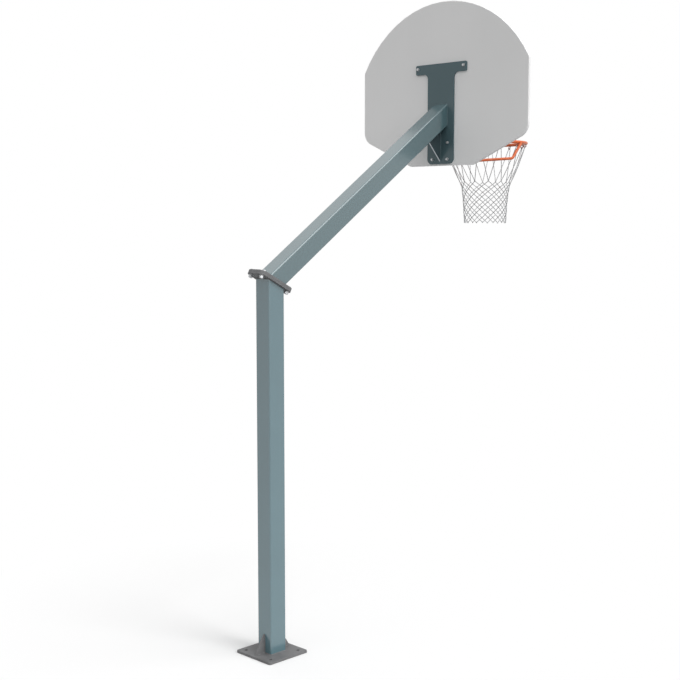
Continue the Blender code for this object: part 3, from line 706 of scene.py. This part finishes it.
def add_flange_fasteners():
    top = SEAT_GAP / 2 + FLANGE_THICKNESS
    for i, (sx, sy) in enumerate(((1, 1), (-1, 1), (-1, -1), (1, -1)), 1):
        x = sx * FLANGE_BOLT_PITCH_LONG / 2
        y = sy * FLANGE_BOLT_PITCH_WIDE / 2
        place = along_flange(x, y, top) @ random_turn()
        bolt = placed(bolt_shape(M12, 2 * top, "hexagon"), place)
        add_fastener(f"flange_bolt_{i}", "threaded", bolt)
        place = along_flange(x, y, -top) @ random_turn()
        add_fastener(f"flange_nut_{i}", "chamfered", placed(nut_shape(M12), place))


def add_board_fasteners(kind, count, head, front):
    """The bolts whose heads face the court, and their nuts on the bracket's back."""
    facing_court = Matrix.Rotation(math.pi / 2, 4, "Y")
    for i in range(1, count + 1):
        low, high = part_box(f"{kind}_nut_{i}")
        spot = (low + high) / 2
        turn = random_turn()
        place = Matrix.Translation((front, spot.y, spot.z)) @ facing_court @ turn
        bolt = placed(bolt_shape(M8, front - BRACKET_BACK_X, head), place)
        add_fastener(f"{kind}_bolt_{i}", "threaded", bolt)
        place = Matrix.Translation((BRACKET_BACK_X, spot.y, spot.z)) @ facing_court @ turn
        add_fastener(f"{kind}_nut_{i}", "chamfered", placed(nut_shape(M8), place))


# Welds


def tube_outline():
    """The square tube's outline as (across, along Y) pairs."""
    corner_steps = 6
    points = []
    straight = TUBE_SIDE / 2 - TUBE_CORNER_RADIUS
    for quarter in range(4):
        cx = straight if quarter in (0, 3) else -straight
        cy = straight if quarter in (0, 1) else -straight
        for i in range(corner_steps + 1):
            angle = math.pi / 2 * (quarter + i / corner_steps)
            points.append((cx + TUBE_CORNER_RADIUS * math.cos(angle),
                           cy + TUBE_CORNER_RADIUS * math.sin(angle)))
    return points


def bead(sweep, points, radius, closed=False):
    """A weld with the small ripples that the torch leaves."""
    path = resample(points, step=0.0008, closed=closed)
    sweep.add(path, radius, sides=8, closed=closed, ripple=0.10, ripple_pitch=0.0032)


def on_post_flange(x, y, level):
    """The point above (x, y) on a plane that lies a level away from the flange joint."""
    z = (level - math.sin(FLANGE_TILT) * x) / math.cos(FLANGE_TILT)
    return (x, y, CRANK_HEIGHT + z)


def on_boom(u, y, level):
    """The point of a line along the boom that meets the flange plane at a level."""
    axis = Vector((math.cos(BOOM_RISE), 0.0, math.sin(BOOM_RISE)))
    up = Vector((-math.sin(BOOM_RISE), 0.0, math.cos(BOOM_RISE)))
    normal = Vector((math.sin(FLANGE_TILT), 0.0, math.cos(FLANGE_TILT)))
    along = (level - u * normal.dot(up)) / normal.dot(axis)
    return Vector((0.0, y, CRANK_HEIGHT)) + up * u + axis * along


def on_bracket(u, y):
    """The point of a line along the boom that meets the bracket's back."""
    x = BRACKET_BACK_X
    z = CRANK_HEIGHT + x * math.tan(BOOM_RISE) + u / math.cos(BOOM_RISE)
    return (x, y, z)


def boom_underside_z(x):
    return CRANK_HEIGHT + x * math.tan(BOOM_RISE) - TUBE_SIDE / 2 / math.cos(BOOM_RISE)


def add_base_welds():
    half = TUBE_SIDE / 2
    foot = BASE_THICKNESS
    sweep = Sweep()
    bead(sweep, [(x, y, foot) for x, y in tube_outline()], TUBE_BEAD, closed=True)
    for side in (-1, 1):
        for y in (-GUSSET_HALF, GUSSET_HALF):
            along_plate = (half + WELD_START, half + BASE_GUSSET_REACH - WELD_STOP)
            up_post = (foot + WELD_START, foot + BASE_GUSSET_HEIGHT)
            bead(sweep, [(side * x, y, foot) for x in along_plate], GUSSET_BEAD)
            bead(sweep, [(side * half, y, z) for z in up_post], GUSSET_BEAD)
    sweep.piece("base_weld", plate_steel)


def add_flange_welds():
    flange = SEAT_GAP / 2 + FLANGE_THICKNESS
    sweep = Sweep()
    on_post = [on_post_flange(x, y, -flange) for x, y in tube_outline()]
    bead(sweep, on_post, TUBE_BEAD, closed=True)
    bead(sweep, [on_boom(x, y, flange) for x, y in tube_outline()], TUBE_BEAD, closed=True)
    sweep.piece("flange_weld", flange_steel)


def add_bracket_welds():
    gusset_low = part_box("bracket_gusset")[0]
    back = BRACKET_BACK_X
    sweep = Sweep()
    bead(sweep, [on_bracket(x, y) for x, y in tube_outline()], GUSSET_BEAD, closed=True)
    for y in (-GUSSET_HALF, GUSSET_HALF):
        up_bracket = (gusset_low.z + WELD_START, boom_underside_z(back))
        under_boom = (gusset_low.x + WELD_START, back)
        bead(sweep, [(back, y, z) for z in up_bracket], GUSSET_BEAD)
        bead(sweep, [(x, y, boom_underside_z(x)) for x in under_boom], GUSSET_BEAD)
    sweep.piece("bracket_weld", bracket_paint_with_painted_shade)


def add_rim_welds():
    """The neck's welds to its plate and to the ring, and one round the foot of each brace."""
    neck_low, neck_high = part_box("rim_neck")
    root = RIM_PLATE_FRONT_X
    half_span = NECK_SPAN_DEGREES / 2
    under_ring = np.radians(np.linspace(180.0 - half_span, 180.0 + half_span, 25))
    reach = RIM_RADIUS + math.sqrt(RIM_BAR_RADIUS ** 2 - NECK_HALF_THICKNESS ** 2)
    sweep = Sweep()
    for z in (neck_low.z, neck_high.z):
        bead(sweep, [(root, -NECK_HALF_WIDTH, z), (root, NECK_HALF_WIDTH, z)], NECK_BEAD)
        arc = [(RIM_CENTRE.x + reach * math.cos(a), reach * math.sin(a), z) for a in under_ring]
        bead(sweep, arc, RING_BEAD)
    half_width = 0.0095
    half_height = 0.0082
    proud = 0.001
    for side in (-1, 1):
        centre = Vector((root + proud, side * BRACE_FOOT_Y, plate_low.z + BRACE_FOOT_RISE))
        ring = [centre + Vector((0.0, half_width * math.cos(a), half_height * math.sin(a)))
                for a in circle_angles(32)]
        bead(sweep, ring, BRACE_BEAD, closed=True)
    sweep.piece("rim_weld", rim_paint)


# Ring and hooks


def on_rim(radius, angle, z):
    """A point round the ring's axis, with z from the ring's centre plane."""
    return (RIM_CENTRE.x + radius * math.cos(angle), radius * math.sin(angle), RIM_CENTRE.z + z)


def add_ring():
    steps = 192
    sweep = Sweep()
    centres = [on_rim(RIM_RADIUS, angle, 0.0) for angle in circle_angles(steps)]
    sweep.add(centres, RIM_BAR_RADIUS, sides=24, closed=True)
    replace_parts(sweep.piece("rim_ring_smooth", rim_paint), "rim_ring")


def add_hooks():
    """Bent wires welded under the ring, each with a small collar of weld."""
    bend_steps = 10
    bend_z = HOOK_FLOOR_Z + HOOK_BEND_RADIUS
    in_bar_z = -RIM_BAR_RADIUS * 0.9
    wire = [(RIM_RADIUS, in_bar_z), (RIM_RADIUS, bend_z)]
    for j in range(1, bend_steps + 1):
        angle = math.pi * j / bend_steps
        wire.append((RIM_RADIUS - HOOK_BEND_RADIUS * (1 - math.cos(angle)),
                     bend_z - HOOK_BEND_RADIUS * math.sin(angle)))
    wire.append((wire[-1][0], wire[-1][1] + HOOK_LIP))
    collar_levels = (in_bar_z, -RIM_BAR_RADIUS - 0.0006, -RIM_BAR_RADIUS - 0.0022)
    collar_radii = (0.0046, 0.0042, 0.0026)
    sweep = Sweep()
    for turn in circle_angles(HOOK_COUNT):
        sweep.add([on_rim(radius, turn, z) for radius, z in wire], HOOK_WIRE_RADIUS, sides=12)
        sweep.add([on_rim(RIM_RADIUS, turn, z) for z in collar_levels], collar_radii, sides=14)
    hooks = [f"net_hook_{i:02d}" for i in range(1, HOOK_COUNT + 1)]
    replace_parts(sweep.piece("net_hooks_wire", hook_paint_with_painted_shade), *hooks)


# Net


def net_knots():
    """The place of every knot, a little off its exact spot, as a hanging net's knots are.

    Even rows hang between the hooks and odd rows under them.
    """
    knots = []
    angle_error = 0.005
    drop_error = 0.0006
    radius_error = 0.0005
    lean = np.array([0.7, -0.7, 0.0]) * NET_LEAN
    for row, radius in enumerate(NET_RADII):
        start = 1 if row % 2 == 0 else 0
        places = []
        for i in range(HOOK_COUNT):
            angle = math.pi * (start + 2 * i) / HOOK_COUNT + rng.normal(0.0, angle_error)
            z = -NET_FIRST_KNOT_DROP - row * NET_ROW_PITCH + rng.normal(0.0, drop_error)
            reach = radius + rng.normal(0.0, radius_error)
            places.append(np.array(on_rim(reach, angle, z)) + lean)
        knots.append(places)
    return knots


def rope(sweep, points):
    """A three strand cord through points."""
    path = spline(points, step=0.0018)
    sweep.add(path, NET_CORD_RADIUS, sides=9, lobes=3, lobe_depth=0.24, pitch=0.016)


def knot(sweep, centre, outwards):
    """A small overhand knot, flat against the net's surface."""
    spread = 0.00105
    depth = 0.0011
    cord_radius = NET_CORD_RADIUS * 0.62
    up = np.array([0.0, 0.0, 1.0])
    outwards = outwards / np.linalg.norm(outwards)
    across = np.cross(up, outwards)
    path = []
    for t in circle_angles(36):
        u = math.sin(t) + 2 * math.sin(2 * t)
        v = math.cos(t) - 2 * math.cos(2 * t)
        w = -math.sin(3 * t)
        path.append(centre + (across * u + up * v) * spread + outwards * w * depth)
    sweep.add(path, cord_radius, sides=7, closed=True)


def leg(top, low):
    """The points between a hook and a first knot, bowed a little outwards.

    Bows are pairs of a share of the way down and a share of the bulge there.
    """
    outwards = top - np.array([RIM_CENTRE.x, 0.0, top[2]])
    outwards /= np.linalg.norm(outwards)
    bows = ((0.06, 0.25), (0.35, 0.8), (0.65, 1.0), (0.85, 0.6))
    return [top + (low - top) * share + outwards * NET_LEG_BULGE * bow for share, bow in bows]


def hook_loop(turn):
    """The half circle of cord that lies in a hook."""
    steps = 6
    seat_radius = RIM_RADIUS - HOOK_BEND_RADIUS
    reach = HOOK_WIRE_RADIUS + SEAT_GAP + NET_CORD_RADIUS
    loop = []
    for j in range(steps + 1):
        angle = math.pi * (1 - j / steps)
        around = turn + reach * math.cos(angle) / seat_radius
        loop.append(on_rim(seat_radius, around, HOOK_FLOOR_Z + reach * math.sin(angle)))
    return loop


def add_net():
    knots = net_knots()
    cords = Sweep()
    for i, turn in enumerate(circle_angles(HOOK_COUNT)):
        loop = hook_loop(turn)
        left = knots[0][i - 1]
        right = knots[0][i]
        first = np.array(loop[0])
        last = np.array(loop[-1])
        rope(cords, [left, *reversed(leg(first, left)), *loop, *leg(last, right), right])
    sag = 0.0006
    for row in range(len(NET_RADII) - 1):
        shift = 1 if row % 2 == 0 else 0
        for i in range(HOOK_COUNT):
            top = knots[row][i]
            for beside in (shift - 1, shift):
                low = knots[row + 1][(i + beside) % HOOK_COUNT]
                middle = (top + low) / 2
                middle[2] -= sag
                rope(cords, [top, middle, low])
    centre = np.array([RIM_CENTRE.x, 0.0, 0.0])
    for row in knots:
        for place in row:
            outwards = place - centre
            outwards[2] = 0.0
            knot(cords, place, outwards)
    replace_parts(cords.piece("net_corded", cord), "net")


# Lines on the board's front


def board_outline(inset):
    """The board's outline as (y, z) points, moved inwards: the same fan as the board's node."""
    arc_steps = 48
    half_width = (board_high.y - board_low.y) / 2
    arc_centre_z = board_high.z - BOARD_ARC_RADIUS
    radius = BOARD_ARC_RADIUS - inset
    side = half_width - inset
    shoulder = math.acos(side / radius)
    bottom = BOARD_BOTTOM_Z + inset
    foot_y = BOARD_HALF_FOOT - inset * math.tan(BOARD_SKIRT / 2)
    cheek_z = BOARD_BOTTOM_Z + (half_width - BOARD_HALF_FOOT) * math.tan(BOARD_SKIRT)
    cheek_z += inset * (1 / math.cos(BOARD_SKIRT) - math.tan(BOARD_SKIRT))
    corners = [(foot_y, bottom, BOARD_FOOT_ROUNDING),
               (side, cheek_z, BOARD_CHEEK_ROUNDING - inset / 2)]
    for i in range(arc_steps + 1):
        angle = shoulder + (math.pi - 2 * shoulder) * i / arc_steps
        rounding = BORDER_SHOULDER_ROUNDING if i in (0, arc_steps) else 0.0
        z = arc_centre_z + radius * math.sin(angle)
        corners.append((radius * math.cos(angle), z, rounding))
    corners += [(-y, z, r) for y, z, r in reversed(corners[:2])]
    spots = [Vector((y, z)) for y, z, _ in corners]
    points = []
    for i, (_, _, rounding) in enumerate(corners):
        points += round_corner(spots[i - 1], spots[i], spots[(i + 1) % len(spots)], rounding)
    return points


def round_corner(before, corner, after, radius):
    """The points of a rounded corner, with a smaller radius where its sides are short."""
    nearly_straight = math.radians(179.5)
    side_share = 0.49
    to_before = (before - corner).normalized()
    to_after = (after - corner).normalized()
    inside = to_before.angle(to_after)
    if radius <= 0.0 or inside > nearly_straight:
        return [corner]
    longest = side_share * min((before - corner).length, (after - corner).length)
    setback = min(radius / math.tan(inside / 2), longest)
    radius = setback * math.tan(inside / 2)
    centre = corner + (to_before + to_after).normalized() * radius / math.sin(inside / 2)
    start = corner + to_before * setback - centre
    turn = start.angle_signed(corner + to_after * setback - centre)
    degrees_per_step = 6.0
    steps = max(2, round(abs(math.degrees(turn)) / degrees_per_step))
    return [centre + Matrix.Rotation(-turn * i / steps, 2) @ start for i in range(steps + 1)]


def add_painted_line(name, outer, inner):
    """A band between two outlines, as thin as paint, on the board's front face."""
    curve = bpy.data.curves.new(name, "CURVE")
    curve.dimensions = "2D"
    curve.fill_mode = "BOTH"
    curve.extrude = PAINT_THICKNESS / 2
    for outline in (outer, inner):
        line = curve.splines.new("POLY")
        line.points.add(len(outline) - 1)
        line.use_cyclic_u = True
        for point, spot in zip(line.points, outline):
            point.co = (spot[0], spot[1], 0.0, 1.0)
    holder = new_object(name, curve)
    depsgraph = bpy.context.evaluated_depsgraph_get()
    mesh = bpy.data.meshes.new_from_object(holder.evaluated_get(depsgraph))
    bpy.data.objects.remove(holder)
    facing_court = Matrix(((0, 0, 1, 0), (1, 0, 0, 0), (0, 1, 0, 0), (0, 0, 0, 1)))
    gap_share = 0.25
    middle_x = BOARD_FRONT_X + (gap_share + 0.5) * PAINT_THICKNESS
    mesh.transform(Matrix.Translation((middle_x, 0.0, 0.0)) @ facing_court)
    mesh.materials.clear()
    mesh.materials.append(line_paint)
    piece = new_object(name, mesh)
    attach(piece, "root")


def rectangle(half_width, low, high):
    return [(half_width, low), (half_width, high), (-half_width, high), (-half_width, low)]


def add_board_lines():
    border = board_outline(BORDER_INSET)
    add_painted_line("board_border_line", border, board_outline(BORDER_INSET + LINE_WIDTH))
    low = plate_high.z + TARGET_RISE
    high = low + TARGET_HEIGHT
    outer = rectangle(TARGET_HALF_WIDTH, low, high)
    inner = rectangle(TARGET_HALF_WIDTH - LINE_WIDTH, low + LINE_WIDTH, high - LINE_WIDTH)
    add_painted_line("board_target_line", outer, inner)


# Stage, lights and camera


def background_rays(tree):
    """1 for the rays that see the white background: the camera's and those of gloss and glass."""
    path = tree.nodes.new("ShaderNodeLightPath")
    total = path.outputs["Is Camera Ray"]
    for name in ("Is Glossy Ray", "Is Transmission Ray"):
        join = tree.nodes.new("ShaderNodeMath")
        join.operation = "MAXIMUM"
        tree.links.new(total, join.inputs[0])
        tree.links.new(path.outputs[name], join.inputs[1])
        total = join.outputs["Value"]
    return total


def floor_material():
    """A floor that is seen pale and then white further out, and that lights the part from below.

    The grey of that light is paler near the part. The mixing starts and ends at distances from
    the post's foot.
    """
    m = Nodes("Pale floor")
    m.tree.nodes.remove(m.shader)
    background = background_rays(m.tree)
    grey_near, grey_far = 1.0, 3.2
    white_near, white_far = 0.3, 2.2
    distance = m.node("ShaderNodeVectorMath", operation="LENGTH")
    m.link(m.place, distance.inputs[0])
    grey = m.node("ShaderNodeBsdfDiffuse")
    outwards = m.span(distance.outputs["Value"], grey_near, grey_far, 0.0, 1.0)
    tones = [(0.0, (0.62, 0.62, 0.62)), (1.0, (0.17, 0.17, 0.17))]
    m.link(m.ramp(outwards, tones), grey.inputs["Color"])
    pale = m.node("ShaderNodeBsdfDiffuse")
    pale.inputs["Color"].default_value = (0.850, 0.850, 0.850, 1.0)
    white = m.node("ShaderNodeEmission")
    white.inputs["Color"].default_value = (*WHITE, 1.0)
    seen_white = m.node("ShaderNodeMath", operation="MULTIPLY")
    further = m.span(distance.outputs["Value"], white_near, white_far, 0.0, 1.0)
    m.link(further, seen_white.inputs[0])
    m.link(background, seen_white.inputs[1])
    near = m.node("ShaderNodeMixShader")
    m.link(background, near.inputs["Fac"])
    m.link(grey.outputs["BSDF"], near.inputs[1])
    m.link(pale.outputs["BSDF"], near.inputs[2])
    far = m.node("ShaderNodeMixShader")
    m.link(seen_white.outputs["Value"], far.inputs["Fac"])
    m.link(near.outputs["Shader"], far.inputs[1])
    m.link(white.outputs["Emission"], far.inputs[2])
    m.link(far.outputs["Shader"], m.tree.nodes["Material Output"].inputs["Surface"])
    return m.material


def add_floor():
    mesh = bpy.data.meshes.new("floor")
    shape = bmesh.new()
    bmesh.ops.create_circle(shape, cap_ends=True, segments=96, radius=FLOOR_RADIUS)
    shape.to_mesh(mesh)
    shape.free()
    floor = new_object("floor", mesh)
    floor.location = (0.0, 0.0, -FLOOR_SINK)
    mesh.materials.append(floor_material())


def add_world():
    """An even light of half strength, with white where the background shows."""
    world = bpy.data.worlds.new("Studio")
    bpy.context.scene.world = world
    world.use_nodes = True
    tree = world.node_tree
    light = tree.nodes["Background"]
    light.inputs["Color"].default_value = (*WHITE, 1.0)
    light.inputs["Strength"].default_value = 0.5
    white = tree.nodes.new("ShaderNodeBackground")
    white.inputs["Color"].default_value = (*WHITE, 1.0)
    white.inputs["Strength"].default_value = 1.0
    mix = tree.nodes.new("ShaderNodeMixShader")
    tree.links.new(background_rays(tree), mix.inputs["Fac"])
    tree.links.new(light.outputs["Background"], mix.inputs[1])
    tree.links.new(white.outputs["Background"], mix.inputs[2])
    tree.links.new(mix.outputs["Shader"], tree.nodes["World Output"].inputs["Surface"])


def add_sun(name, towards, degrees_wide, strength):
    """A soft, even light from far away. Towards points from the part to it."""
    data = bpy.data.lights.new(name, "SUN")
    data.angle = math.radians(degrees_wide)
    data.energy = strength
    light = new_object(name, data)
    light.location = Vector(towards) * LAMP_DISTANCE
    light.rotation_euler = Vector(towards).to_track_quat("Z", "Y").to_euler()
    return light


def add_lamps():
    """Three soft lamps and a key light.

    The key light gives the shadow. A wider lamp beside it gives its mirror image, which would
    else be a small hot spot in the glossy paint.
    """
    key = add_sun("Key", KEY_DIRECTION, degrees_wide=19.0, strength=0.82)
    key.visible_glossy = False
    glow = add_sun("Key glow", KEY_DIRECTION, degrees_wide=55.0, strength=1.07)
    glow.visible_diffuse = False
    add_sun("Side softbox", (0.10, -0.81, 0.57), degrees_wide=86.0, strength=1.75)
    add_sun("Back softbox", (0.16, 0.70, 0.69), degrees_wide=50.0, strength=0.20)
    add_sun("Front softbox", (-0.68, -0.65, 0.34), degrees_wide=115.0, strength=0.77)


def add_camera():
    data = bpy.data.cameras.new("Camera")
    data.sensor_fit = "HORIZONTAL"
    data.sensor_width = SENSOR_WIDTH_MM
    data.lens = FOCAL_LENGTH_PIXELS / PHOTO_WIDTH_PIXELS * SENSOR_WIDTH_MM
    data.clip_end = 200.0
    camera = new_object("Camera", data)
    look = Vector((math.cos(CAMERA_YAW) * math.cos(CAMERA_PITCH),
                   math.sin(CAMERA_YAW) * math.cos(CAMERA_PITCH),
                   -math.sin(CAMERA_PITCH)))
    camera.location = CAMERA_PLACE
    camera.rotation_euler = look.to_track_quat("-Z", "Y").to_euler()
    bpy.context.scene.camera = camera


add_flange_fasteners()
add_board_fasteners("bracket", 2, "dome", BOARD_FRONT_X)
add_board_fasteners("rim", 4, "hexagon", RIM_PLATE_FRONT_X)
add_base_welds()
add_flange_welds()
add_bracket_welds()
add_rim_welds()
add_ring()
add_hooks()
add_net()
add_board_lines()
add_floor()
add_world()
add_lamps()
add_camera()
bpy.context.scene.view_settings.view_transform = "Standard"
